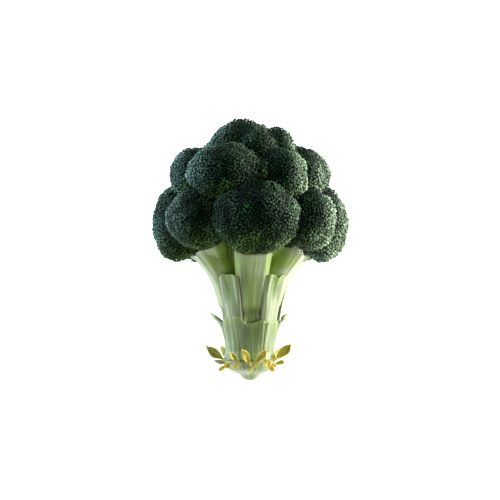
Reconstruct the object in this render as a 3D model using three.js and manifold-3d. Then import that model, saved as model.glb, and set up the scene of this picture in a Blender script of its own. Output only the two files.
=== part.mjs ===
// A head of broccoli, cut from its plant and laid on its back.
// One stalk, which divides into limbs and stems, carries a crown of packed bud domes. Two rings of cut
// leaf bases are wrapped round the stalk, and small yellow leaflets stand round its foot.
// Millimetres. The head is modelled growing along +Y from the tip of its stalk, with +Z its front and
// +X its right, and is then tipped to rest on the crown and the foot, with +Z up.
import * as THREE from "three";
import { mergeVertices } from "three/addons/utils/BufferGeometryUtils.js";
import Module from "manifold-3d";

const wasm = await Module();
wasm.setup();

// Driving dimensions.
const contactGap = 0.3; // between pieces that touch
const restTilt = 22.39; // degrees, so that two back domes and the foot's collar meet the ground
const leafBaseThickness = 1.9;
const leafletThickness = 1.7;
const socketDepth = 0.9; // where a dome is cut for its stem, as a share of its reach that way
const limbSides = 14;
const stemSides = 9;

// The stalk's bare outline: [height, radius], from the round tip past the collar to the limbs.
const stalkOutline = [
  [0, 0], [0.5, 3.4], [2, 5.8], [4.4, 7.6], [6.2, 11.4], [7.8, 15.4], [9.6, 17.6], [13, 18.5],
  [15.6, 18.2], [17, 16.7], [22, 16.5], [30, 17.6], [37, 19.6], [46, 21.6], [54, 18], [66, 16.5],
  [84, 17.5], [104, 19], [130, 15], [150, 10], [158, 0],
];

// A limb's middle line and half-widths: [height, distance from the axis, across, through].
const limbLine = [
  [34, 8, 8, 7], [50, 12.4, 10.5, 9.8], [66, 15.6, 12, 10.6], [82, 21.5, 13.6, 11], [92, 28.6, 15, 11],
  [101, 36.5, 16, 10.5],
];

// Each limb's direction round the stalk in degrees from the front, and how wide it is for its kind.
const limbs = {
  front: { turn: 4, width: 0.93 },
  right: { turn: 77, width: 1.02 },
  backRight: { turn: 133, width: 0.86 },
  back: { turn: 182, width: 0.8 },
  backLeft: { turn: -134, width: 0.86 },
  left: { turn: -78, width: 1.05 },
};

// Each bud dome: its centre, its half-sizes and the limb that its stem grows from.
const domes = {
  top: { at: [-5.7, 175, -1], size: [26, 21.8, 23], from: "core" },
  top_front: { at: [4.5, 171, 15], size: [19, 18, 15.5], from: "core" },
  top_right: { at: [17.8, 173, 1], size: [17.8, 17.8, 20], from: "core" },
  top_back: { at: [8, 169, -20], size: [23, 20.5, 20], from: "core" },
  top_back_left: { at: [-20, 164, -18], size: [21, 20, 20], from: "core" },
  upper_left: { at: [-40, 154.6, 2], size: [21.5, 22.2, 24], from: "left" },
  upper_front_left: { at: [-18, 154.5, 29.5], size: [28.5, 23, 25], from: "front" },
  upper_front: { at: [5, 156, 31], size: [12, 13, 13.5], from: "front" },
  upper_front_right: { at: [23, 152, 23], size: [19.6, 22.6, 22.5], from: "front" },
  upper_right: { at: [39.6, 154.4, -1], size: [21.4, 22.2, 24], from: "right" },
  upper_back_right: { at: [29, 149, -28], size: [23.5, 23, 21], from: "backRight" },
  upper_back: { at: [-2, 147, -36], size: [22.5, 22.5, 19.5], from: "back" },
  upper_back_left: { at: [-32, 149, -25], size: [23.5, 23, 21.5], from: "backLeft" },
  lower_front: { at: [4, 123.2, 39], size: [33.6, 27.6, 27.5], from: "front" },
  lower_front_right: { at: [28, 122, 24], size: [17, 22, 22], from: "front" },
  lower_right_front: { at: [44.5, 121, 21], size: [19.5, 23, 23.5], from: "right" },
  lower_right: { at: [52.8, 118, -6], size: [22.2, 29.4, 27], from: "right" },
  lower_back_right: { at: [36, 115, -33.5], size: [26, 26, 25.5], from: "backRight" },
  lower_back: { at: [-1, 117, -39], size: [24.5, 26, 19.5], from: "back" },
  lower_back_left: { at: [-37, 115, -33.5], size: [26, 26, 25.5], from: "backLeft" },
  lower_left: { at: [-52.5, 118.5, -6], size: [22.5, 29.5, 27], from: "left" },
  lower_front_left: { at: [-38, 121.5, 24.5], size: [24, 23, 23.5], from: "left" },
};

// The cut leaf bases of each ring: where each starts and ends round the stalk, in degrees from the
// front, the heights of its foot, its two top corners and its peak, where the peak is across it, from
// 0 to 1, and how far its top curls out.
const lowerLeafBases = {
  left: { from: -114, to: -68, foot: 16.2, corners: [45, 46], peak: 52.4, peakAt: 0.3, curl: 7.6 },
  front_left: { from: -67, to: -9, foot: 16.2, corners: [46.5, 44], peak: 50.5, peakAt: 0.72, curl: 1.2 },
  front: { from: -8, to: 31, foot: 16.2, corners: [43.5, 45], peak: 47.6, peakAt: 0.95, curl: 2.4 },
  front_right: { from: 32, to: 70, foot: 16.2, corners: [45, 46], peak: 46.4, peakAt: 0.5, curl: 0.8 },
  right: { from: 71, to: 116, foot: 16.2, corners: [45, 45], peak: 52.6, peakAt: 0.68, curl: 7.4 },
  back_right: { from: 117, to: 163, foot: 16.2, corners: [45, 44], peak: 49, peakAt: 0.4, curl: 1.6 },
  back: { from: 164, to: 204, foot: 16.2, corners: [44, 45], peak: 48, peakAt: 0.6, curl: 1 },
  back_left: { from: 205, to: 245, foot: 16.2, corners: [45, 46], peak: 49.5, peakAt: 0.5, curl: 1.6 },
};
const upperLeafBases = {
  front_left: { from: -49, to: -19, foot: 50, corners: [76, 78], peak: 80.8, peakAt: 0.35, curl: 0.6 },
  front_right: { from: 24.5, to: 62, foot: 50, corners: [78, 77], peak: 79.4, peakAt: 0.5, curl: 2.4 },
  back_right: { from: 90, to: 121, foot: 50, corners: [70, 71], peak: 75, peakAt: 0.6, curl: 1.4 },
  back: { from: 143, to: 172, foot: 50, corners: [69, 68], peak: 72, peakAt: 0.4, curl: 1 },
  back_left: { from: 214, to: 245, foot: 50, corners: [71, 70], peak: 75.5, peakAt: 0.5, curl: 1.4 },
};

// Each leaflet at the foot: its root and tip, its width, and the way its flat side faces.
const front = [0, 0, 1];
const leaflets = {
  left_long: { root: [-18.8, 15.4, 3], tip: [-33.4, 26.6, 6], width: 5.2, faces: front },
  left_inner: { root: [-18.6, 17, -5], tip: [-20.4, 24, -7], width: 2.6, faces: front },
  left_pale: { root: [-19, 13.4, 7.5], tip: [-27, 16, 9], width: 2.8, faces: front },
  left_low: { root: [-18, 11.8, 10], tip: [-23.8, 8.2, 12.4], width: 2.6, faces: front },
  left_bud: { root: [-16.2, 13.8, 12.2], tip: [-18.6, 10.2, 15.6], width: 4.4, faces: front },
  front_left_low: { root: [-8.4, 13.6, 18.4], tip: [-13.4, 10.8, 18.6], width: 3, faces: front },
  front_left_long: { root: [-8, 15, 18.6], tip: [-15.8, 23, 20.6], width: 3.2, faces: front },
  front_lobed: { root: [-0.6, 13.4, 19.4], tip: [-5.6, 25.2, 22.6], width: 4.4, faces: front },
  front_long: { root: [0.4, 8.6, 19.4], tip: [12, 24.6, 23.4], width: 5, faces: front },
  right_bud: { root: [12, 16, 15.6], tip: [14.8, 11.8, 18.2], width: 5, faces: front },
  right_small: { root: [17.6, 15.8, 9.4], tip: [18.8, 20.6, 10.8], width: 3.6, faces: front },
  right_long: { root: [18.8, 15.4, 3.4], tip: [31, 28.4, 6.6], width: 5.8, faces: front },
  right_side: { root: [18.6, 13, 7.2], tip: [26, 15, 9.2], width: 3.2, faces: front },
  right_low: { root: [14.4, 11.2, 14.6], tip: [18.6, 8.2, 16.8], width: 2.8, faces: front },
  right_mid: { root: [16.2, 13.2, 11.8], tip: [19.6, 11, 13.4], width: 3, faces: front },
  back_right_long: { root: [16.4, 15, -10.4], tip: [25.4, 25.4, -16.4], width: 4.6, faces: [0.6, 0, -1] },
  back_right_low: { root: [15, 13.2, -11.8], tip: [21.6, 16.4, -14.6], width: 3.2, faces: [0.4, 0.6, -1] },
  back_long: { root: [3.6, 15, -19], tip: [7.6, 27.4, -22.4], width: 4.4, faces: [0.2, 0, -1] },
  back_short: { root: [-4.4, 14.6, -19], tip: [-8.4, 23, -21.8], width: 4, faces: [-0.2, 0, -1] },
  back_left_long: { root: [-13.6, 15, -13.8], tip: [-22, 25.6, -19], width: 4.8, faces: [-0.6, 0, -1] },
  back_left_low: { root: [-16.8, 12.8, -9.6], tip: [-23, 14.6, -12.4], width: 3, faces: [-0.4, 0.6, -1] },
};

const stalkSkin = new THREE.MeshStandardMaterial({ color: 0xa9ba78, roughness: 0.5, metalness: 0 });
const leafBaseSkin = new THREE.MeshStandardMaterial({ color: 0xb4c497, roughness: 0.55, metalness: 0 });
const budGreen = new THREE.MeshStandardMaterial({ color: 0x2c4a33, roughness: 0.8, metalness: 0 });
const leafletYellow = new THREE.MeshStandardMaterial({ color: 0xb9a83c, roughness: 0.6, metalness: 0 });

const point = ([x, y, z]) => new THREE.Vector3(x, y, z);

// A closed three.js geometry as a solid that can be joined and cut.
function solidOf(geometry) {
  const bare = new THREE.BufferGeometry().setAttribute("position", geometry.attributes.position);
  if (geometry.index) bare.setIndex(geometry.index);
  const merged = mergeVertices(bare, 1e-4);
  return new wasm.Manifold(
    new wasm.Mesh({
      numProp: 3,
      vertProperties: merged.attributes.position.array,
      triVerts: new Uint32Array(merged.index.array),
    }),
  );
}

// The largest body of a solid as a geometry: crumbs that a cut has split off are dropped.
function geometryOf(solid) {
  const whole = solid.decompose().sort((a, b) => b.volume() - a.volume())[0];
  const mesh = whole.getMesh();
  const geometry = new THREE.BufferGeometry();
  geometry.setAttribute("position", new THREE.BufferAttribute(mesh.vertProperties, 3));
  geometry.setIndex(new THREE.BufferAttribute(mesh.triVerts, 1));
  geometry.computeVertexNormals();
  return geometry;
}

// Moves every vertex of a geometry to where the rule puts it.
function reshape(geometry, rule) {
  const position = geometry.attributes.position;
  for (let i = 0; i < position.count; i++) {
    const { x, y, z } = rule(position.getX(i), position.getY(i), position.getZ(i));
    position.setXYZ(i, x, y, z);
  }
  return geometry;
}

// The value at a height in a list of [height, value, value...] rows.
function atHeight(rows, height, column = 1) {
  const next = rows.findIndex(([h]) => h >= height);
  if (next < 1) return rows[next < 0 ? rows.length - 1 : 0][column];
  const [low, high] = [rows[next - 1], rows[next]];
  return low[column] + ((high[column] - low[column]) * (height - low[0])) / (high[0] - low[0]);
}

// The place at a distance out from the axis, turned from the front.
function round(turn, out, height) {
  const angle = THREE.MathUtils.degToRad(turn);
  return new THREE.Vector3(Math.sin(angle) * out, height, Math.cos(angle) * out);
}

// A closed tube along the points, with its own half-widths [across, through] at each of them.
function tube(points, halfWidths, across, sides, margin) {
  const line = new THREE.CatmullRomCurve3(points);
  const widths = new THREE.CatmullRomCurve3(halfWidths.map(([a, b]) => new THREE.Vector3(a, b, 0)));
  const steps = 2 * (points.length - 1);
  return reshape(new THREE.CylinderGeometry(1, 1, 1, sides, steps), (x, y, z) => {
    const share = y + 0.5;
    const through = new THREE.Vector3().crossVectors(across, line.getTangent(share)).normalize();
    const half = widths.getPoint(share).addScalar(margin);
    return line.getPoint(share).addScaledVector(across, x * half.x).addScaledVector(through, z * half.y);
  });
}

// How far a dome's surface is from its centre in a direction.
function reach({ size }, direction) {
  return 1 / point(size).set(direction.x / size[0], direction.y / size[1], direction.z / size[2]).length();
}

// Everything past a plane, as a block that is larger than the head.
function pastPlane(onPlane, normal) {
  const block = new THREE.BoxGeometry(300, 300, 300).translate(0, 0, 150);
  block.applyQuaternion(new THREE.Quaternion().setFromUnitVectors(point(front), normal));
  return solidOf(block.translate(onPlane.x, onPlane.y, onPlane.z));
}

// Where a dome's stem starts, on its limb or on the core.
function stemRoot({ at, from }) {
  if (from === "core") return new THREE.Vector3(at[0] * 0.25, 136, at[2] * 0.25);
  const height = at[1] > 140 ? 84 : 93;
  return round(limbs[from].turn, atHeight(limbLine, height) - 3, height);
}

// The way a dome's stem comes into it: straight from below and from the axis.
function stemWay(dome) {
  const inward = point([dome.at[0] * 0.62, dome.at[1] - 24, dome.at[2] * 0.62]);
  return point(dome.at).sub(inward).normalize();
}

// A bud dome, cut flat where it meets each neighbour and its own stem.
function domeSolid(name, margin = 0) {
  const dome = domes[name];
  const centre = point(dome.at);
  const detail = Math.min(...dome.size) > 17 ? 3 : 2;
  const ball = new THREE.IcosahedronGeometry(1, detail).scale(...dome.size.map((half) => half + margin));
  let solid = solidOf(ball.translate(...dome.at));
  for (const other of Object.keys(domes)) {
    const across = point(domes[other].at).sub(centre);
    const distance = across.length();
    if (other === name || distance > 62) continue;
    across.normalize();
    const [mine, theirs] = [reach(dome, across), reach(domes[other], across.clone().negate())];
    const seam = (distance ** 2 + mine ** 2 - theirs ** 2) / (2 * distance);
    const edge = centre.clone().addScaledVector(across, seam - contactGap / 2 + margin);
    solid = solid.subtract(pastPlane(edge, across));
  }
  const down = stemWay(dome).negate();
  const socket = centre.clone().addScaledVector(down, socketDepth * reach(dome, down) + margin);
  return solid.subtract(pastPlane(socket, down));
}

// The stalk with its limbs and stems, all one growth.
function stalkSolid(margin = 0) {
  const outline = stalkOutline.map(
    ([height, radius]) => new THREE.Vector2(radius && radius + margin, height),
  );
  outline[0].y -= margin;
  let solid = solidOf(new THREE.LatheGeometry(outline, 30));
  for (const { turn, width } of Object.values(limbs)) {
    const points = limbLine.map(([height, out]) => round(turn, out, height));
    const halfWidths = limbLine.map(([, , across, through]) => [across * width, through]);
    solid = solid.add(solidOf(tube(points, halfWidths, round(turn + 90, 1, 0), limbSides, margin)));
  }
  for (const dome of Object.values(domes)) {
    const [root, end] = [stemRoot(dome), point(dome.at)];
    const bend = end.clone().addScaledVector(stemWay(dome), -1.15 * reach(dome, stemWay(dome)));
    const across = new THREE.Vector3().crossVectors(stemWay(dome), point(front)).normalize();
    const neck = 0.3 * Math.min(...dome.size) + 2;
    const halfWidths = [[neck, neck], [neck * 1.05, neck * 1.05], [neck * 2, neck * 2]];
    solid = solid.add(solidOf(tube([root, bend, end], halfWidths, across, stemSides, margin)));
  }
  return solid;
}

// A cut leaf base: a curved plate wrapped round the stalk, with an uneven top that curls out.
function leafBaseSolid(base, innerAt, thickness, margin = 0) {
  const { from, to, foot, corners, peak, peakAt, curl } = base;
  const plate = new THREE.BoxGeometry(1, 1, 1, 6, 5, 1);
  return solidOf(
    reshape(plate, (x, y, z) => {
      const [share, rise] = [x + 0.5, y + 0.5];
      const side = share < peakAt ? share / peakAt : (1 - share) / (1 - peakAt);
      const corner = share < peakAt ? corners[0] : corners[1];
      const top = corner + (peak - corner) * Math.sin((Math.PI / 2) * side) ** 1.4;
      const height = foot - margin + (top + margin - foot + margin) * rise;
      const inner = innerAt(height) + curl * side * rise ** 6;
      const tuck = 0.55 * (1 - Math.min(1, 4 * share, 4 * (1 - share)));
      const out = inner + (z + 0.5) * (thickness * (1 - 0.5 * rise) - tuck) + margin * Math.sign(z);
      const spread = ((margin / out) * 180) / Math.PI;
      return round(from - spread + (to - from + 2 * spread) * share, out, height);
    }),
  );
}

// A small leaf: a flattened blade, widest past its middle.
function leafletSolid({ root, tip, width, faces }) {
  const along = point(tip).sub(point(root));
  const length = along.length();
  along.normalize();
  const across = new THREE.Vector3().crossVectors(along, point(faces)).normalize();
  const through = new THREE.Vector3().crossVectors(across, along);
  return solidOf(
    reshape(new THREE.SphereGeometry(1, 8, 6), (x, y, z) => {
      const share = ((y + 1) / 2) ** 0.8;
      const place = point(root).addScaledVector(along, share * length);
      place.addScaledVector(across, (x * width) / 2);
      return place.addScaledVector(through, (z * leafletThickness) / 2);
    }),
  );
}

const head = new THREE.Group();

function addPiece(name, solid, material) {
  const mesh = new THREE.Mesh(geometryOf(solid), material);
  mesh.name = name;
  head.add(mesh);
}

// The domes keep their shape, and the stalk is cut clear of them.
let stalk = stalkSolid();
for (const name of Object.keys(domes)) {
  addPiece(`floret_${name}`, domeSolid(name), budGreen);
  stalk = stalk.subtract(domeSolid(name, contactGap));
}
addPiece("stalk", stalk, stalkSkin);

// The leaf bases and leaflets are cut clear of the stalk and of the leaf bases already placed.
const onStalk = (height) => atHeight(stalkOutline, Math.min(height, 46)) + contactGap + 0.05;
const onLimbs = (height) => atHeight(limbLine, height) + atHeight(limbLine, height, 3) - 2.4;
let filled = stalkSolid(contactGap);
for (const [name, base] of Object.entries(lowerLeafBases)) {
  addPiece(`leaf_base_lower_${name}`, leafBaseSolid(base, onStalk, leafBaseThickness), leafBaseSkin);
  filled = filled.add(leafBaseSolid(base, onStalk, leafBaseThickness, contactGap));
}
for (const [name, base] of Object.entries(upperLeafBases)) {
  const plate = leafBaseSolid(base, onLimbs, 2 * leafBaseThickness);
  addPiece(`leaf_base_upper_${name}`, plate.subtract(filled), leafBaseSkin);
}
for (const [name, leaflet] of Object.entries(leaflets)) {
  addPiece(`leaflet_${name}`, leafletSolid(leaflet).subtract(filled), leafletYellow);
}

// Laid down: its front up, tipped on to its two rests, with the middle of its footprint at the origin.
head.rotation.x = THREE.MathUtils.degToRad(restTilt);
const broccoli = new THREE.Group();
broccoli.add(head);
const box = new THREE.Box3().setFromObject(broccoli, true);
head.position.set(-(box.min.x + box.max.x) / 2, -(box.min.y + box.max.y) / 2, -box.min.z);

export default broccoli;
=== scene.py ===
import math

import bmesh
import bpy
import numpy as np
from mathutils import Matrix, Vector
from mathutils.bvhtree import BVHTree


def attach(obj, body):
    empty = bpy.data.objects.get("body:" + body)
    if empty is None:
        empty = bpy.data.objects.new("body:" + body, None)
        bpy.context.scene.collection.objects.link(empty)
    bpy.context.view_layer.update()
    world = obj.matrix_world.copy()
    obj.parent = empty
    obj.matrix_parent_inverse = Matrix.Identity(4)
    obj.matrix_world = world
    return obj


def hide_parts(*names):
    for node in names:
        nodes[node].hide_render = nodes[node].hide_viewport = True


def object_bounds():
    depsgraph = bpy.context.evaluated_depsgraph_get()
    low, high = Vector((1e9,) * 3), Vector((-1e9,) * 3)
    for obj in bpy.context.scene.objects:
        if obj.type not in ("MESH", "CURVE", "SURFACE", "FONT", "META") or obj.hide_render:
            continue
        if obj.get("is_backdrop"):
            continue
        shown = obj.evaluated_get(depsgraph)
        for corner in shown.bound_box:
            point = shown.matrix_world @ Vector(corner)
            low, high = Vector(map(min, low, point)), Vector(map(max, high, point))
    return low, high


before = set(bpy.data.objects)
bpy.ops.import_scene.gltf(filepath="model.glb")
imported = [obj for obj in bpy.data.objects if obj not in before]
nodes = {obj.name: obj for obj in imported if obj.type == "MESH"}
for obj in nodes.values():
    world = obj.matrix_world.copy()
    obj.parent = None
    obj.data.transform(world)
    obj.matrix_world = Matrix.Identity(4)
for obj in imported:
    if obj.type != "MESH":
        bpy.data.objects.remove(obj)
cadLow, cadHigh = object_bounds()
mm = 0.001

# The head grows along its own Y from the tip of its stalk, its front is its own Z, and it lies tipped
# about X by this much, on its back domes and its foot.
restTilt = math.radians(22.39)
lean = np.array(Matrix.Rotation(restTilt, 3, "X"))


def pointsOf(mesh):
    flat = np.empty(len(mesh.vertices) * 3)
    mesh.vertices.foreach_get("co", flat)
    return flat.reshape(-1, 3)


stalkPoints = pointsOf(nodes["stalk"].data)
tip = stalkPoints[(stalkPoints @ lean[:, 1]).argmin()]


def toHead(points):  # from the row's frame, in metres, to the head's own, in millimetres
    return (np.asarray(points) - tip) @ lean / mm


def fromHead(points):
    return np.asarray(points) * mm @ lean.T + tip


# The camera looks straight at the front of the head, square to its length, through a long lens.
view = {"lens": 135, "width": 0.3765}  # mm, and metres taken in across the head's middle

headPoints = toHead(np.concatenate([pointsOf(node.data) for node in nodes.values()]))
middle = (headPoints.min(0) + headPoints.max(0)) / 2
middle[2] = 0

camera = bpy.data.objects.new("camera", bpy.data.cameras.new("camera"))
camera.data.lens = view["lens"]
away = view["width"] / mm * view["lens"] / camera.data.sensor_width
camera.location = fromHead(middle + [0, 0, away])
camera.rotation_euler = (restTilt, 0, 0)
camera.data.clip_end = 20
bpy.context.collection.objects.link(camera)
bpy.context.scene.camera = camera

# Each soft light: where it stands in the head's own millimetres, its width and height, its watts and
# its colour. The two at the sides light the rims, and the front one is only a fill.
softLights = {
    "rightSoftbox": {"at": (450, 230, 0), "size": (0.3, 0.45), "power": 11, "colour": (1, 0.97, 0.94)},
    "leftSoftbox": {"at": (-450, 290, -10), "size": (0.3, 0.4), "power": 6, "colour": (0.76, 0.88, 1)},
    "topSoftbox": {"at": (-120, 860, 20), "size": (0.7, 0.4), "power": 5, "colour": (0.84, 0.94, 1)},
    "frontFill": {"at": (60, -120, 900), "size": (0.6, 0.6), "power": 3, "colour": (0.98, 1, 0.97)},
}
for name, soft in softLights.items():
    lamp = bpy.data.lights.new(name, "AREA")
    lamp.shape = "RECTANGLE"
    lamp.size, lamp.size_y = soft["size"]
    lamp.energy = soft["power"]
    lamp.color = soft["colour"]
    light = bpy.data.objects.new(name, lamp)
    place = Vector(fromHead(soft["at"]))
    aim = Vector(fromHead((0, 110, 0)))
    light.location = place
    light.rotation_euler = (aim - place).to_track_quat("-Z", "Y").to_euler()
    light.visible_camera = False
    bpy.context.collection.objects.link(light)
bpy.context.scene.view_settings.view_transform = "Standard"
print("camera and lights")


def linearColour(hexColour):
    parts = [int(hexColour[i : i + 2], 16) / 255 for i in (1, 3, 5)]
    return (*(c / 12.92 if c <= 0.04045 else ((c + 0.055) / 1.055) ** 2.4 for c in parts), 1)


# Adds a node. Each input is a number, a vector, a colour in hex, a node's output, or a node, of which
# the first output in use is taken. The stops are those of a colour ramp.
def addNode(tree, kind, inputs=None, stops=(), **settings):
    node = tree.nodes.new("ShaderNode" + kind)
    for key, value in settings.items():
        setattr(node, key, value)
    for key, value in (inputs or {}).items():
        if isinstance(value, bpy.types.Node):
            value = next(output for output in value.outputs if output.enabled)
        if isinstance(value, bpy.types.NodeSocket):
            tree.links.new(value, node.inputs[key])
        else:
            node.inputs[key].default_value = linearColour(value) if isinstance(value, str) else value
    for spare, (position, colour) in enumerate(stops):
        if spare > 1:
            node.color_ramp.elements.new(position)
    for element, (position, colour) in zip(node.color_ramp.elements if stops else (), stops):
        element.position = position
        element.color = linearColour(colour)
    return node


# A new material with its tree, its shader with these settings, and the head's own coordinates in metres.
def newMaterial(name, settings):
    material = bpy.data.materials.new(name)
    material.use_nodes = True
    tree = material.node_tree
    shader = tree.nodes["Principled BSDF"]
    for key, value in settings.items():
        shader.inputs[key].default_value = value
    place = addNode(tree, "TexCoord").outputs["Object"]
    turned = {"Vector": place, "Location": tuple(tip), "Rotation": (restTilt, 0, 0)}
    return material, tree, shader, addNode(tree, "Mapping", turned, vector_type="TEXTURE")


shaftRadius = 27  # mm, of the stalk with its leaf bases


# Noise in streaks that run from the foot up into the limbs: so many millimetres wide, measured round
# the shaft, and so many long.
def streaks(tree, place, wide, long, detail):
    level = addNode(tree, "VectorMath", {0: place, 1: (1, 0, 1)}, operation="MULTIPLY")
    turn = addNode(tree, "VectorMath", {0: level}, operation="NORMALIZE")
    rise = addNode(tree, "VectorMath", {0: place, 1: (0, 1 / (long * mm), 0)}, operation="MULTIPLY")
    across = (shaftRadius / wide,) * 3
    spot = addNode(tree, "VectorMath", {0: turn, 1: across, 2: rise}, operation="MULTIPLY_ADD")
    return addNode(tree, "TexNoise", {"Vector": spot, "Scale": 1, "Detail": detail, "Roughness": 0.6})


# Closed flower buds: small matt beads under a waxy bloom, which makes the sides of the crown pale and
# dusty, with painted rim light laid over it, cool on the left and warm on the right. They are blackish
# green with painted shade in the creases and yellow-green low down by the stems.
def makeBudSkin():
    settings = {"Roughness": 0.4, "Specular IOR Level": 0.04}  # the bloom leaves hardly any gloss
    material, tree, shader, place = newMaterial("waxyClosedBuds", settings)
    values = {}
    for label in ("tone", "openToLight", "low", "bloomAndRimLight", "rightward"):
        values[label] = addNode(tree, "Attribute", attribute_name=label)
    bud = addNode(
        tree,
        "ValToRGB",
        {"Fac": values["tone"]},
        stops=[(0, "#051606"), (0.45, "#0f2b12"), (0.8, "#1f4a20"), (1, "#386833")],
    )
    patches = addNode(tree, "TexNoise", {"Vector": place, "Scale": 1 / (18 * mm), "Detail": 2})
    dark = addNode(tree, "MapRange", {0: patches, 1: 0.42, 2: 0.7, 3: 0, 4: 0.6})
    bud = addNode(tree, "Mix", {0: dark, 6: bud, 7: "#0a240f"}, data_type="RGBA")
    fresh = addNode(tree, "Mix", {0: values["tone"], 6: "#33591d", 7: "#7ba04e"}, data_type="RGBA")
    ripening = addNode(tree, "MapRange", {0: values["low"], 4: 0.85})
    bud = addNode(tree, "Mix", {0: ripening, 6: bud, 7: fresh}, data_type="RGBA")
    # painted rim light: where the bloom lies, the buds turn a cool pale green on the left and a warm pale
    # green on the right
    side = addNode(tree, "MapRange", {0: values["rightward"], 1: -0.4, 2: 0.4})
    wax = addNode(tree, "Mix", {0: side, 6: "#90b6b0", 7: "#c0dbb8"}, data_type="RGBA")
    bud = addNode(tree, "Mix", {0: values["bloomAndRimLight"], 6: bud, 7: wax}, data_type="RGBA")
    # painted shade: the buds go nearly black down in the creases, round their bases, where a dome meets
    # the next, and on the flesh between them
    shade = addNode(tree, "MapRange", {0: values["openToLight"], 3: 0.08})
    shaded = addNode(tree, "Mix", {0: shade, 6: "#03100a", 7: bud}, data_type="RGBA")
    tree.links.new(shaded.outputs[2], shader.inputs["Base Color"])
    return material


# Broccoli stalk: crisp, watery flesh under a thin waxy skin, satin, pale and waxy on its flanks and along
# its raised strands, greener between them and up its rib channels, with painted shade, deep green, in its
# hollows and under the crown.
def makeStalkSkin():
    settings = {
        "Roughness": 0.4,
        "Subsurface Weight": 0.1,
        "Subsurface Radius": (0.8, 1.0, 0.5),
        "Subsurface Scale": 2 * mm,
    }
    material, tree, shader, place = newMaterial("waxyStalkSkin", settings)
    strands = streaks(tree, place, 3.6, 71, 3)
    fineStrands = streaks(tree, place, 1, 33, 2)
    clouds = addNode(tree, "TexNoise", {"Vector": place, "Scale": 1 / (14 * mm), "Detail": 3})
    green = addNode(
        tree,
        "ValToRGB",
        {"Fac": strands},
        stops=[(0.3, "#5f7832"), (0.46, "#7b904c"), (0.6, "#99a675"), (0.74, "#b7bd9d")],
    )
    waxy = addNode(
        tree,
        "ValToRGB",
        {"Fac": strands},
        stops=[(0.3, "#6d7a4c"), (0.44, "#8a936d"), (0.56, "#9fa787"), (0.7, "#b0b89d")],
    )
    wax = addNode(tree, "Attribute", attribute_name="wax")
    skin = addNode(tree, "Mix", {0: wax, 6: green, 7: waxy}, data_type="RGBA")
    pale = addNode(tree, "MapRange", {0: fineStrands, 1: 0.52, 2: 0.75, 4: 0.55})
    skin = addNode(tree, "Mix", {0: pale, 6: skin, 7: "#b9c2a2"}, data_type="RGBA")
    fresh = addNode(tree, "MapRange", {0: clouds, 1: 0.5, 2: 0.75, 4: 0.4})
    skin = addNode(tree, "Mix", {0: fresh, 6: skin, 7: "#7c934b"}, data_type="RGBA")
    # painted shade in the hollows, over the real green of the rib channels
    hollowGreenAndShade = addNode(tree, "Attribute", attribute_name="hollowGreenAndShade")
    deep = addNode(tree, "MapRange", {0: hollowGreenAndShade, 1: 0.1, 2: 0.95, 4: 0.9})
    skin = addNode(tree, "Mix", {0: deep, 6: skin, 7: "#7f9c38"}, data_type="RGBA")
    # painted shade: the stalk darkens to deep green at its top, under the crown
    height = addNode(tree, "Attribute", attribute_name="height")
    under = addNode(tree, "MapRange", {0: height, 1: 100 * mm, 2: 114 * mm, 4: 0.85})
    skin = addNode(tree, "Mix", {0: under, 6: skin, 7: "#3c5a20"}, data_type="RGBA")
    tree.links.new(skin.outputs[2], shader.inputs["Base Color"])
    bump = addNode(tree, "Bump", {"Strength": 0.4, "Distance": 0.6 * mm, "Height": fineStrands})
    tree.links.new(bump.outputs[0], shader.inputs["Normal"])
    return material


# Cut leaf bases: the stalk's skin, but duller, with painted shade over the green in the sunk middles of
# their gutters, and with a greener rim where they were cut.
def makeLeafBaseSkin():
    settings = {
        "Roughness": 0.43,
        "Subsurface Weight": 0.1,
        "Subsurface Radius": (0.8, 1.0, 0.5),
        "Subsurface Scale": 1.5 * mm,
    }
    material, tree, shader, place = newMaterial("waxyLeafBase", settings)
    strands = streaks(tree, place, 4.2, 83, 3)
    fineStrands = streaks(tree, place, 0.9, 36, 2)
    green = addNode(
        tree,
        "ValToRGB",
        {"Fac": strands},
        stops=[(0.3, "#4c612c"), (0.45, "#5a7036"), (0.6, "#70854c"), (0.74, "#8d9c6c")],
    )
    waxy = addNode(
        tree,
        "ValToRGB",
        {"Fac": strands},
        stops=[(0.3, "#6e7b54"), (0.44, "#838e6b"), (0.56, "#98a183"), (0.7, "#adb49c")],
    )
    wax = addNode(tree, "Attribute", attribute_name="wax")
    skin = addNode(tree, "Mix", {0: wax, 6: green, 7: waxy}, data_type="RGBA")
    pale = addNode(tree, "MapRange", {0: fineStrands, 1: 0.52, 2: 0.74, 4: 0.45})
    skin = addNode(tree, "Mix", {0: pale, 6: skin, 7: "#b6baa6"}, data_type="RGBA")
    # painted shade in the sunk middle of the gutter, over its greener channel
    hollowGreenAndShade = addNode(tree, "Attribute", attribute_name="hollowGreenAndShade")
    deep = addNode(tree, "MapRange", {0: hollowGreenAndShade, 1: 0.1, 2: 0.95, 4: 0.85})
    skin = addNode(tree, "Mix", {0: deep, 6: skin, 7: "#587426"}, data_type="RGBA")
    rim = addNode(tree, "Attribute", attribute_name="rim")
    cut = addNode(tree, "MapRange", {0: rim, 1: 0.75, 2: 1, 4: 0.7})
    skin = addNode(tree, "Mix", {0: cut, 6: skin, 7: "#7f9644"}, data_type="RGBA")
    tree.links.new(skin.outputs[2], shader.inputs["Base Color"])
    bump = addNode(tree, "Bump", {"Strength": 0.4, "Distance": 0.5 * mm, "Height": fineStrands})
    tree.links.new(bump.outputs[0], shader.inputs["Normal"])
    return material


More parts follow.
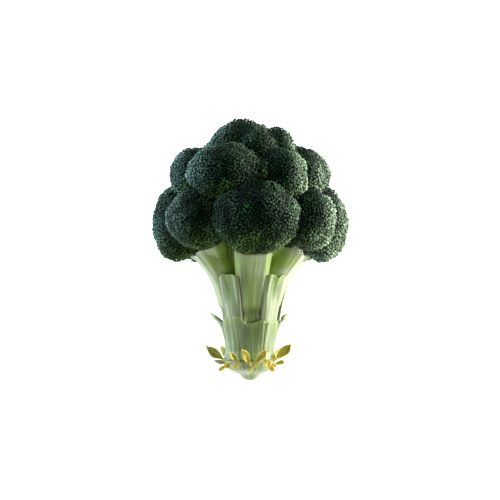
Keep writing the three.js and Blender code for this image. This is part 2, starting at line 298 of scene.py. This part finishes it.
# Small yellowing leaves: soft, dull and thin enough to glow a little, olive, yellow or ochre by age.
def makeLeafletSkin():
    settings = {
        "Roughness": 0.5,
        "Subsurface Weight": 0.25,
        "Subsurface Radius": (1.0, 0.8, 0.2),
        "Subsurface Scale": 1.5 * mm,
    }
    material, tree, shader, place = newMaterial("yellowingLeaf", settings)
    mottle = addNode(tree, "TexNoise", {"Vector": place, "Scale": 1 / (2.4 * mm), "Detail": 3})
    ripe = addNode(tree, "Attribute", attribute_name="ripe")
    spread = addNode(tree, "MapRange", {0: mottle, 1: 0.3, 2: 0.7, 3: -0.16, 4: 0.16})
    age = addNode(tree, "Math", {0: ripe, 1: spread}, operation="ADD")
    leaf = addNode(
        tree,
        "ValToRGB",
        {"Fac": age},
        stops=[(0, "#8c9c84"), (0.25, "#7f8a36"), (0.5, "#b2ac36"), (0.75, "#d0c044"), (1, "#dab344")],
    )
    along = addNode(tree, "Attribute", attribute_name="along")
    stem = addNode(tree, "MapRange", {0: along, 1: 0.3, 2: 0, 4: 0.6})
    leaf = addNode(tree, "Mix", {0: stem, 6: leaf, 7: "#c4ba54"}, data_type="RGBA")
    edge = addNode(tree, "Attribute", attribute_name="edge")
    # paler towards the edges of the blade and along its middle
    paleEdge = addNode(tree, "MapRange", {0: edge, 1: 0.5, 2: 1, 4: 0.4})
    leaf = addNode(tree, "Mix", {0: paleEdge, 6: leaf, 7: "#dccf86"}, data_type="RGBA")
    paleMiddle = addNode(tree, "MapRange", {0: edge, 1: 0.2, 2: 0, 4: 0.4})
    leaf = addNode(tree, "Mix", {0: paleMiddle, 6: leaf, 7: "#d8cf88"}, data_type="RGBA")
    tree.links.new(leaf.outputs[2], shader.inputs["Base Color"])
    return material


# A painted white studio floor, lit so evenly that it gives some light back.
def makeFloorPaint():
    settings = {"Roughness": 0.9, "Emission Color": (1, 1, 1, 1), "Emission Strength": 0.95}
    material, tree, shader, place = newMaterial("studioFloorPaint", settings)
    dust = addNode(tree, "TexNoise", {"Vector": place, "Scale": 1 / (330 * mm), "Detail": 2})
    paint = addNode(tree, "ValToRGB", {"Fac": dust}, stops=[(0.3, "#f2f2f2"), (0.7, "#f6f6f6")])
    tree.links.new(paint.outputs[0], shader.inputs["Base Color"])
    return material


budSkin = makeBudSkin()
stalkSkin = makeStalkSkin()
leafBaseSkin = makeLeafBaseSkin()
leafletSkin = makeLeafletSkin()
print("materials")

# The room: a round floor that runs out of sight, and white walls that give only a little cool light.
floorMesh = bpy.data.meshes.new("floor")
bm = bmesh.new()
bmesh.ops.create_circle(bm, cap_ends=True, segments=64, radius=6)
bm.to_mesh(floorMesh)
bm.free()
floor = bpy.data.objects.new("floor", floorMesh)
floor.location.z = cadLow.z
bpy.context.collection.objects.link(floor)
floorMesh.materials.append(makeFloorPaint())
floor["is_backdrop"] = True

world = bpy.data.worlds.new("studioRoom")
world.use_nodes = True
bpy.context.scene.world = world
roomTree = world.node_tree
room = roomTree.nodes["Background"]
room.inputs["Color"].default_value = (0.86, 0.93, 1, 1)
room.inputs["Strength"].default_value = 0.06
whiteWall = addNode(roomTree, "Background", {"Color": (1, 1, 1, 1), "Strength": 1})
seen = addNode(roomTree, "LightPath").outputs["Is Camera Ray"]
walls = addNode(roomTree, "MixShader", {0: seen, 1: room, 2: whiteWall})
roomTree.links.new(walls.outputs[0], roomTree.nodes["World Output"].inputs["Surface"])
print("room")


def numbered(start):  # the nodes whose names start so, in order, each with its number
    return enumerate(sorted(name for name in nodes if name.startswith(start)))


# A mesh made from a CAD node's triangles, merged, so that it can be worked on.
def mergedCopy(nodeName):
    bm = bmesh.new()
    bm.from_mesh(nodes[nodeName].data)
    bmesh.ops.remove_doubles(bm, verts=bm.verts, dist=0.00001)
    return bm


# A smooth skin over a solid: evenly fine quads, with its facets and sharp edges rubbed down.
def smoothSkin(bm, voxel, rubs):
    mesh = bpy.data.meshes.new("skin")
    bm.to_mesh(mesh)
    bm.free()
    skin = bpy.data.objects.new("skin", mesh)
    bpy.context.collection.objects.link(skin)
    remesh = skin.modifiers.new("voxels", "REMESH")
    remesh.mode = "VOXEL"
    remesh.voxel_size = voxel * mm
    smooth = skin.modifiers.new("rub", "SMOOTH")
    smooth.iterations = rubs
    smooth.factor = 0.5
    shaped = bpy.data.meshes.new_from_object(skin.evaluated_get(bpy.context.evaluated_depsgraph_get()))
    bpy.data.objects.remove(skin)
    bpy.data.meshes.remove(mesh)
    return shaped


# From 0 at low to 1 at high, easing at both ends; low may be the greater of the two.
def smoothStep(values, low, high):
    share = np.clip((values - low) / (high - low), 0, 1)
    return share * share * (3 - 2 * share)


rowHeight, rowCount = 2, 121  # mm, of the thin rows that the head is measured in


def rowOf(points):
    return np.clip(points[:, 1] / rowHeight, 0, rowCount - 1).astype(int)


def greatestByRow(points, values, least):
    greatest = np.full(rowCount, float(least))
    np.maximum.at(greatest, rowOf(points), values)
    return greatest


def normalsOf(mesh):
    flat = np.empty(len(mesh.vertices) * 3)
    mesh.vertex_normals.foreach_get("vector", flat)
    return flat.reshape(-1, 3)


def setPoints(mesh, points):
    mesh.vertices.foreach_set("co", np.asarray(points, float).ravel())
    mesh.update()


def addValues(mesh, name, values):
    mesh.attributes.new(name, "FLOAT", "POINT").data.foreach_set("value", np.asarray(values, float))


def addPiece(name, mesh, material, slot, *nodeNames):
    mesh.name = name
    mesh.materials.clear()
    mesh.materials.append(material)
    mesh.polygons.foreach_set("use_smooth", np.ones(len(mesh.polygons), bool))
    piece = bpy.data.objects.new(name, mesh)
    bpy.context.collection.objects.link(piece)
    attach(piece, "root")
    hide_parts(*nodeNames)
    return piece


# Long raised strands round the stalk: a sum of waves round it that drift slowly with the height.
def strandsAt(points, seed, counts):
    chance = np.random.default_rng(seed)
    turn = np.arctan2(points[:, 0], points[:, 2])
    total = np.zeros(len(points))
    for count in counts:
        drift, phase = chance.normal(0, 0.02), chance.uniform(0, 2 * math.pi)
        swell = 0.6 + 0.4 * np.sin(points[:, 1] / chance.uniform(9, 22) + phase)
        total += swell * np.sin(count * turn + drift * points[:, 1] + phase)
    return total / len(counts)


# The stalk. A flat channel runs up the outer face of each of its ribs, between two raised strands. All
# heights and lengths here are in millimetres, up from the tip.
stalk = {
    "voxel": 0.9,
    "rubs": 9,
    "strandDepth": 0.5,
    "strands": (9, 13, 19, 26, 34),  # waves round it
    "strandFoot": (20, 32),  # they start and end within these
    "strandTop": (112, 100),
    "collar": {"height": 11, "half": 6, "lobes": 5, "reach": 0.6, "drawnIn": 0.5},
    "rimHollow": 2.4,  # how far it is drawn in behind the rim of the lower leaf bases
    "hollowFoot": (39, 44),
    "hollowTop": (58, 50),
    "ribs": (4, 77, 133, 182, -134, -78),  # degrees round from the front
    "channel": {"low": 4.2, "high": 7.4, "depth": 1.5},  # half its width low and high
    "channelWidens": (50, 95),
    "lip": {"up": 1.0, "aside": 2, "half": 1.5},  # the raised strand on each side of it
    "greenTop": (92, 66),
}
greenRibs = ((4, 30), (133, 16), (182, 24), (-134, 16))  # degrees round, and how wide each is green


# How waxy and pale a place is: the middles of the front and back ribs are green, and the flanks waxy.
def waxAt(places):
    turn = np.degrees(np.arctan2(places[:, 0], places[:, 2]))
    wax = np.ones(len(places))
    for rib, width in greenRibs:
        off = (turn - rib + 180) % 360 - 180
        wax *= 1 - 0.95 * np.exp(-((off / width) ** 2))
    return wax


stalkMesh = smoothSkin(mergedCopy("stalk"), stalk["voxel"], stalk["rubs"])
places = toHead(pointsOf(stalkMesh))
outward = normalsOf(stalkMesh) @ lean
radius = np.hypot(places[:, 0], places[:, 2])
height = places[:, 1].copy()
bare = smoothStep(height, *stalk["strandFoot"]) * smoothStep(height, *stalk["strandTop"])
push = bare * stalk["strandDepth"] * strandsAt(places, 3, stalk["strands"])

# the channel up each rib, on its outer face
channel, lip = stalk["channel"], stalk["lip"]
green, ridge = np.zeros(len(places)), np.zeros(len(places))
half = np.interp(height, stalk["channelWidens"], (channel["low"], channel["high"]))
for rib in stalk["ribs"]:
    way = np.array([math.sin(math.radians(rib)), 0, math.cos(math.radians(rib))])
    aside = places @ np.cross([0, 1, 0], way)
    faces = np.clip((outward @ way) * 1.6 - 0.3, 0, 1) * (places @ way > 8) * bare
    dent = np.exp(-((aside / half) ** 4))
    raised = np.exp(-(((abs(aside) - half - lip["aside"]) / lip["half"]) ** 2))
    push += faces * (lip["up"] * raised - channel["depth"] * dent)
    green = np.maximum(green, faces * dent * smoothStep(height, *stalk["greenTop"]))
    ridge = np.maximum(ridge, faces * raised)
behindRim = smoothStep(height, *stalk["hollowFoot"]) * smoothStep(height, *stalk["hollowTop"])
push -= stalk["rimHollow"] * behindRim
# the collar is drawn out into a few blunt lobes
collar = stalk["collar"]
nearCollar = np.clip(1 - abs(height - collar["height"]) / collar["half"], 0, 1)
turn = np.arctan2(places[:, 0], places[:, 2])
lobes = np.cos(collar["lobes"] * turn + 0.5) * 0.7 + np.cos(3 * turn + 1) * 0.4
push += nearCollar * (collar["reach"] * lobes - collar["drawnIn"])
places += outward * push[:, None]
setPoints(stalkMesh, fromHead(places))

# how deep each point lies behind the widest point at its height and round about it, for the painted shade
# in its hollows
widest = greatestByRow(places, radius, 1)
deep = np.clip((widest[rowOf(places)] - radius - 1.5) / 10, 0, 1)
# painted shade in the hollows, and the green of the rib channels
addValues(stalkMesh, "hollowGreenAndShade", np.maximum(deep, 0.55 * green))
addValues(stalkMesh, "height", places[:, 1] * mm)
addValues(stalkMesh, "wax", np.maximum(waxAt(places), 0.85 * ridge))
addPiece("stalkFlesh", stalkMesh, stalkSkin, "stalk", "stalk")
print("stalk", len(stalkMesh.polygons))


# The leaf bases. Each is a gutter: its sides stand out, its middle is sunk, and its top is notched
# between two lobes. The lengths are in millimetres.
leafBases = {
    "voxel": 0.5,
    "rubs": 5,
    "strandDepth": {"upper": 0.28, "lower": 0.084},
    "strands": (17, 24, 33, 45),  # waves round the stalk
    "gutter": {"upper": 1.1, "lower": 0.495},
    "notch": {"upper": 2.2, "lower": 0.66},
    "spread": {"upper": 1.5, "lower": 0.5},
    "ragged": 1.3,
    "rags": (11, 19, 31),  # waves round the stalk
    "runDown": 7,  # how far the upper ones' feet run down behind the lower ring, and how far in
    "runIn": 1.4,
    "riseUp": 2,
    "hollowGreenAndShade": {"upper": 0.95, "lower": 0.3},
    "wax": {"upper": (0.85, 0.08), "lower": (0.6, -0.1)},  # times the stalk's own, and more or less
}
flaps = {"out": 1.0, "rearUp": 0.2, "rearThick": 1.8, "frontDown": 2.0}  # of the two curled ones
for number, name in numbered("leaf_base_"):
    mesh = smoothSkin(mergedCopy(name), leafBases["voxel"], leafBases["rubs"])
    places = toHead(pointsOf(mesh))
    outward = normalsOf(mesh) @ lean
    rise = (places[:, 1] - places[:, 1].min()) / np.ptp(places[:, 1])
    middle = places.mean(0) * [1, 0, 1] / np.hypot(*places.mean(0)[[0, 2]])
    aside = places @ np.cross([0, 1, 0], middle)
    share = (aside - aside.min()) / np.ptp(aside) * 2 - 1  # from -1 to 1 across it
    upper = name.startswith("leaf_base_upper")
    ring = "upper" if upper else "lower"
    deep = np.exp(-((share / 0.42) ** 2)) * smoothStep(rise, 0.15, 0.7)
    lip = np.exp(-(((abs(share) - 0.72) / 0.2) ** 2)) * smoothStep(rise, 0.1, 0.5)
    radial = places * [1, 0, 1] / np.hypot(places[:, 0], places[:, 2])[:, None]
    places += radial * (leafBases["gutter"][ring] * (0.9 * lip - deep))[:, None]
    sideways = np.cross([0, 1, 0], radial)
    places += sideways * (share * leafBases["spread"][ring])[:, None]
    if upper:
        foot = smoothStep(rise, 0.3, 0)
        places[:, 1] += leafBases["riseUp"] * smoothStep(rise, 0.6, 1) - leafBases["runDown"] * foot
        places -= radial * (leafBases["runIn"] * foot)[:, None]
    if name in ("leaf_base_lower_left", "leaf_base_lower_right"):
        turn = abs(np.degrees(np.arctan2(places[:, 0], places[:, 2])))
        rear = smoothStep(turn, 80, 104)
        flap = smoothStep(rise, 0.55, 1)
        places += radial * (flaps["out"] * flap * rear)[:, None]
        below = np.clip(-outward[:, 1] + abs(outward @ middle) * 0.5, 0, 1)
        rearRise = (flaps["rearUp"] - flaps["rearThick"] * below) * rear
        places[:, 1] += flap * (rearRise - flaps["frontDown"] * (1 - rear))
    strands = strandsAt(places, 11 + number, leafBases["strands"])
    places += outward * (leafBases["strandDepth"][ring] * strands)[:, None]
    # the cut rim is uneven
    ragged = strandsAt(places, 40 + number, leafBases["rags"])
    top = smoothStep(rise, 0.66, 1)
    places[:, 1] += leafBases["ragged"] * (ragged - 0.4) * top
    places[:, 1] -= leafBases["notch"][ring] * deep * top
    setPoints(mesh, fromHead(places))
    addValues(mesh, "rim", rise)
    # painted shade, with the greener channel, in the sunk middle of each gutter
    addValues(mesh, "hollowGreenAndShade", deep * leafBases["hollowGreenAndShade"][ring])
    times, more = leafBases["wax"][ring]
    addValues(mesh, "wax", np.clip(waxAt(places) * times + more, 0, 1))
    addPiece(name.replace("leaf_base", "leafBase"), mesh, leafBaseSkin, "leaf_base", name)
print("leaf bases")


# The crown: domes of flesh, sunk into clusters and lobes, with a coat of small buds.
crown = {
    "voxel": 1.2,
    "rubs": 6,
    "clusterPitch": 7.5,  # mm between the small clusters that a dome's buds gather in
    "clusterDip": 0.9,
    "lobePitch": 17,
    "lobeDip": 1.4,
    "pitch": 1.62,  # mm between buds
    "bud": 0.95,  # mm, a bud's radius
    "proud": 0.7,  # mm by which the buds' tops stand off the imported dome
    "standOut": 1.0,  # mm by which a bud's middle stands off its dome's flesh
    "uneven": {"size": 0.1, "lean": 0.12, "rise": 0.24},  # from bud to bud, the last in mm
    "press": 0.15,  # mm by which domes are pressed into each other where they touch
    "open": (0.45, 1.9),  # mm to the next piece at which a seam starts and stops closing
}


# Even but irregular places on a mesh, none closer together than the pitch, in millimetres.
def scatter(mesh, pitch, chance, tries=7):
    mesh.calc_loop_triangles()
    corners = np.empty(len(mesh.loop_triangles) * 3, int)
    mesh.loop_triangles.foreach_get("vertices", corners)
    points, normals = pointsOf(mesh) / mm, normalsOf(mesh)
    a, b, c = (points[corners.reshape(-1, 3)[:, i]] for i in range(3))
    areas = np.linalg.norm(np.cross(b - a, c - a), axis=1) / 2
    count = int(tries * areas.sum() / pitch**2)
    pick = chance.choice(len(areas), count, p=areas / areas.sum())
    u, v = chance.random((2, count))
    over = u + v > 1
    u[over], v[over] = 1 - u[over], 1 - v[over]
    weights = np.stack([1 - u - v, u, v], 1)
    chosen = corners.reshape(-1, 3)[pick]
    spots = (points[chosen] * weights[:, :, None]).sum(1)
    facing = (normals[chosen] * weights[:, :, None]).sum(1)
    grid, kept = {}, []
    cells = np.floor(spots / pitch).astype(int)
    for i, cell in enumerate(map(tuple, cells)):
        near = [
            j
            for x in (-1, 0, 1)
            for y in (-1, 0, 1)
            for z in (-1, 0, 1)
            for j in grid.get((cell[0] + x, cell[1] + y, cell[2] + z), ())
        ]
        if not near or ((spots[near] - spots[i]) ** 2).sum(1).min() >= pitch**2:
            grid.setdefault(cell, []).append(i)
            kept.append(i)
    facing = facing[kept]
    return spots[kept], facing / np.linalg.norm(facing, axis=1)[:, None]


# How far down the side of its cluster each place lies, from 0 on top to about 1 in the crease, and the
# way from the cluster's middle to it.
def fromClusters(places, centres, pitch):
    gaps = np.linalg.norm(places[:, None] - centres[None], axis=2)
    return np.clip(gaps.min(1) / (0.64 * pitch), 0, 1.2) ** 2, (places - centres[gaps.argmin(1)]) / pitch


# One bud: a bead, a little taller than wide, without the end that sits in the dome.
def makeBud():
    bm = bmesh.new()
    bmesh.ops.create_uvsphere(bm, u_segments=7, v_segments=5, radius=1)
    hidden = [v for v in bm.verts if v.co.z < -0.6]
    bmesh.ops.delete(bm, geom=hidden, context="VERTS")
    bmesh.ops.scale(bm, verts=bm.verts, vec=(1, 1, 1.15))
    bmesh.ops.triangulate(bm, faces=bm.faces)
    mesh = bpy.data.meshes.new("bud")
    bm.to_mesh(mesh)
    bm.free()
    return mesh


bud = makeBud()
budPoints = pointsOf(bud)
# painted shade: a bud is darker round its base
budShade = 0.3 + 0.7 * smoothStep(budPoints[:, 2], -0.3, 0.9)  # a bud is darker round its base


# A dome's flesh with a bud set in it at each spot, pointing its own way.
def dressed(flesh, spots, pointing, sizes, chance):
    side = np.cross(pointing, chance.normal(size=pointing.shape))
    side /= np.linalg.norm(side, axis=1)[:, None]
    axes = np.stack([side, np.cross(pointing, side), pointing], 1) * sizes[:, None, None]
    beads = (spots[:, None] + budPoints @ axes) * mm
    beads[:, :, 2] = np.maximum(beads[:, :, 2], cadLow.z)
    bm = bmesh.new()
    bm.from_mesh(flesh)
    for points in beads:
        bud.vertices.foreach_set("co", points.ravel())
        bm.from_mesh(bud)
    mesh = bpy.data.meshes.new("dome")
    bm.to_mesh(mesh)
    bm.free()
    return mesh


# A flat map of a dome as it is seen from outside, so that each bud has its own patch in a texture.
def domeMap(points, centre, axis):
    away = points - centre
    away /= np.linalg.norm(away, axis=1)[:, None]
    side = np.cross(axis, [0.3, 0.5, 0.81])
    side /= np.linalg.norm(side)
    up = np.cross(axis, side)
    spread = np.sqrt(2 / np.maximum(1 + away @ axis, 0.02))
    return np.stack([away @ side * spread, away @ up * spread], 1) / 4


# A dome's flesh, sunk below its buds into clusters and lobes, and pressed against its neighbours.
def shapeFlesh(flesh, neighbours, clusters, lobes):
    points = pointsOf(flesh) / mm
    dip, _ = fromClusters(points, clusters, crown["clusterPitch"])
    bigDip, _ = fromClusters(points, lobes, crown["lobePitch"])
    sink = crown["clusterDip"] * dip + crown["lobeDip"] * bigDip + crown["standOut"] - crown["proud"]
    free = clearance(points, neighbours)
    sink = sink * free - crown["press"] * (1 - free)
    setPoints(flesh, (points - normalsOf(flesh) * sink[:, None]) * mm)


# From 0 where a place touches the next piece to 1 where it is well clear of it.
def clearance(points, neighbours):
    gaps = np.array([neighbours.find_nearest(Vector(point * mm))[3] for point in points]) / mm
    nearEnd, farEnd = crown["open"]
    return np.clip((gaps - nearEnd) / (farEnd - nearEnd), 0, 1)


# The waxy bloom with painted rim light on it: from least to most on the right and on the left, more of it
# high up, and underneath.
bloomAndRimLightShape = {
    "right": (0.18, 0.7),
    "left": (0.1, 0.5),
    "high": 0.9,
    "highUp": (128, 152),  # mm up the head
    "under": 0.6,
    "most": 0.66,
}

# How far out the crown reaches to the side at each height.
crownPoints = toHead(np.concatenate([pointsOf(nodes[n].data) for n in nodes if n.startswith("floret_")]))
halfWidths = greatestByRow(crownPoints, abs(crownPoints[:, 0]), 0)
rowMiddles = (np.arange(rowCount) + 0.5) * rowHeight


# How fresh and how waxy a dome is at some places, with painted rim light on the wax, and how far they
# look to the right: it is freshest underneath, and the bloom with its painted rim light is thickest on
# the sides of the crown, most of all on its right.
def lookAt(places, domeMiddle):
    away = places - domeMiddle
    away /= np.linalg.norm(away, axis=1)[:, None]
    rightward = away @ lean[:, 0]
    low = smoothStep(-(away @ lean[:, 1]), 0.05, 0.85)
    onHead = toHead(places * mm)
    flank = onHead[:, 0] / np.maximum(np.interp(onHead[:, 1], rowMiddles, halfWidths), 20)
    high = 1 + bloomAndRimLightShape["high"] * smoothStep(onHead[:, 1], *bloomAndRimLightShape["highUp"])
    bloomAndRimLight = bloomAndRimLightShape["under"] * low * smoothStep(flank, 0.45, 0.85)
    for side, way in (("right", 1), ("left", -1)):
        least, most = bloomAndRimLightShape[side]
        thick = least + (most - least) * high * smoothStep(way * flank, 0.3, 1)
        bloomAndRimLight += smoothStep(way * rightward, 0, 0.9) * thick
    return low, np.clip(bloomAndRimLight, 0, bloomAndRimLightShape["most"]), rightward


uneven = crown["uneven"]
totalBuds = 0
for number, name in numbered("floret_"):
    chance = np.random.default_rng(100 + number)
    others = bmesh.new()
    for otherName, node in nodes.items():
        if otherName != name:
            others.from_mesh(node.data)
    neighbours = BVHTree.FromBMesh(others)
    others.free()

    flesh = smoothSkin(mergedCopy(name), crown["voxel"], crown["rubs"])
    clusters, _ = scatter(flesh, crown["clusterPitch"], chance)
    lobes, _ = scatter(flesh, crown["lobePitch"], chance)
    shapeFlesh(flesh, neighbours, clusters, lobes)

    spots, facing = scatter(flesh, crown["pitch"], chance)
    free = clearance(spots, neighbours)
    # what touches the next piece is buried between the two, so it has no buds
    spots, facing, free = spots[free > 0], facing[free > 0], free[free > 0]
    dip, aside = fromClusters(spots, clusters, crown["clusterPitch"])
    bigDip, farAside = fromClusters(spots, lobes, crown["lobePitch"])
    pointing = facing + 0.6 * aside + 0.3 * farAside + chance.normal(0, uneven["lean"], facing.shape)
    pointing /= np.linalg.norm(pointing, axis=1)[:, None]
    sizes = crown["bud"] * np.clip(chance.normal(1, uneven["size"], len(spots)), 0.75, 1.25)
    rise = crown["standOut"] * (0.4 + 0.6 * free) + chance.normal(0, uneven["rise"], len(spots))
    spots += facing * rise[:, None]
    mesh = dressed(flesh, spots, pointing, sizes, chance)

    coreCount, perBud = len(flesh.vertices), len(budPoints)
    middle = pointsOf(flesh).mean(0) / mm
    # the tone differs at random, with a little painted shade darkening it down into the creases
    tone = np.clip(chance.beta(2, 3, len(spots)) + 0.15 * (1 - dip), 0, 1)
    # painted shade: darker down into the creases between clusters and lobes, and darkest where the dome
    # meets the next piece
    openToLight = np.clip(1 - 0.35 * dip - 0.35 * bigDip, 0.1, 1) * (0.15 + 0.85 * free)
    # the bloom carries painted rim light, paler on the sides of the crown and most on the right
    low, bloomAndRimLight, rightward = lookAt(spots, middle)
    low *= chance.uniform(0.7, 1, len(spots))
    bloomAndRimLight *= chance.uniform(0.5, 1.15, len(spots))
    lowBetween, bloomAndRimLightBetween, rightwardBetween = lookAt(pointsOf(flesh) / mm, middle)
    plain = np.ones(coreCount)
    # painted shade: the flesh seen between the buds is nearly black
    values = {
        "tone": (0.1 * plain, tone),
        "openToLight": (0.1 + 0.2 * bloomAndRimLightBetween, openToLight),
        "low": (lowBetween, low),
        "bloomAndRimLight": (0.2 * bloomAndRimLightBetween, bloomAndRimLight),
        "rightward": (rightwardBetween, rightward),
    }
    for label, (between, onBuds) in values.items():
        onPoints = np.repeat(onBuds, perBud)
        if label == "openToLight":
            onPoints = onPoints * np.tile(budShade, len(spots))
        addValues(mesh, label, np.concatenate([between, onPoints]))
    axis = pointing.mean(0) / np.linalg.norm(pointing.mean(0))
    points = pointsOf(mesh) / mm
    flat = domeMap(points, points[:coreCount].mean(0), axis)
    # the flesh has a small corner of the map to itself
    flat[:coreCount] = flat[:coreCount] * 0.24 + 0.07
    flat[coreCount:] = flat[coreCount:] * 0.98 + 0.5
    corners = np.empty(len(mesh.loops), int)
    mesh.loops.foreach_get("vertex_index", corners)
    mesh.uv_layers.new(name="OFBake").data.foreach_set("uv", flat[corners].ravel())
    addPiece(name.replace("floret", "buds"), mesh, budSkin, "buds", name)
    bpy.data.meshes.remove(flesh)
    totalBuds += len(spots)
print("crown", totalBuds, "buds")


# The leaflets: each is a thin blade, folded along its middle and curled towards its tip.
leafletShape = {
    "thick": 0.65,  # mm
    "longer": 2.2,  # mm, than the node that it stands for, most of it into the stalk
    "sunkIn": 2.0,
    "wider": 1.25,  # times the node's width
    "fold": 0.3,  # share of its width
    "curl": 0.2,  # share of its length
    "stemEnd": 0.24,
}
# From 0, grey-green, to 1, ochre, for those whose age is plain; the others take theirs by chance.
ripeness = {"left_long": 0.34, "left_pale": 0.0, "left_inner": 0.2, "right_small": 0.5, "right_long": 0.46}


def makeLeaflet(node, ripe, chance):
    points = toHead(pointsOf(node.data))
    centre = points.mean(0)
    axes = np.linalg.svd(points - centre, full_matrices=False)[2]
    along, across = axes[0], axes[1]
    if along @ (centre * [1, 0, 1]) < 0:
        along = -along
    out = np.cross(along, across)
    if out @ (centre * [1, 0, 1]) < 0:
        across, out = -across, -out
    reach = (points - centre) @ along
    length = np.ptp(reach) + leafletShape["longer"]
    width = np.ptp((points - centre) @ across) * leafletShape["wider"]
    root = centre + along * (reach.min() - leafletShape["sunkIn"])

    bm = bmesh.new()
    bmesh.ops.create_grid(bm, x_segments=6, y_segments=10, size=0.5)
    edges = [abs(vert.co.x * 2) for vert in bm.verts]
    wave = chance.uniform(0, 6)
    blunt = 1 if ripe > 0.5 else 0  # the yellow ones are rounded at the tip, the green ones pointed
    for vert in bm.verts:
        share, sideways = vert.co.y + 0.5, vert.co.x * 2
        blade = min(1, max(0, share - leafletShape["stemEnd"]) / (1 - leafletShape["stemEnd"]))
        uneven = 1 + 0.16 * math.sin(9 * share + wave) + 0.14 * sideways * math.sin(6 * share + 2 * wave)
        swell = math.sin(math.pi * blade ** (0.85 + blunt / 2)) ** (0.8 - 0.3 * blunt)
        outline = (0.2 + 0.8 * swell * uneven) * min(1, (1.02 - share) / 0.2) ** (1 - 0.5 * blunt)
        cup = leafletShape["fold"] * width * abs(sideways) ** 1.4 * outline
        cup += 0.13 * width * math.sin(6 * share + 2.5 * sideways + wave)
        curl = leafletShape["curl"] * length * (share**2 - 0.3)
        place = root + along * share * length + across * sideways * outline * width / 2
        vert.co = Vector(fromHead(place + out * (cup + curl * 0.5)))
        vert.co.z = max(vert.co.z, cadLow.z + 0.4 * mm)  # a blade that touches the floor lies on it
    bmesh.ops.recalc_face_normals(bm, faces=bm.faces)
    mesh = bpy.data.meshes.new("leaflet")
    bm.to_mesh(mesh)
    bm.free()
    shares = (toHead(pointsOf(mesh)) - root) @ along / length
    addValues(mesh, "along", shares)
    addValues(mesh, "ripe", np.full(len(shares), ripe))
    addValues(mesh, "edge", edges)
    return mesh


for number, name in numbered("leaflet_"):
    chance = np.random.default_rng(300 + number)
    ripe = ripeness.get(name.removeprefix("leaflet_"), chance.uniform(0.42, 0.9))
    blade = makeLeaflet(nodes[name], ripe, chance)
    leaf = addPiece(name.replace("leaflet", "leaf"), blade, leafletSkin, "leaflet", name)
    thick = leaf.modifiers.new("thickness", "SOLIDIFY")
    thick.thickness = leafletShape["thick"] * mm
    thick.offset = 0
    smooth = leaf.modifiers.new("smooth", "SUBSURF")
    smooth.levels = smooth.render_levels = 2
print("leaflets")

sizes = {"cad": [list(cadLow), list(cadHigh)], "visual": [list(corner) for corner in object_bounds()]}
print("sizes", sizes)
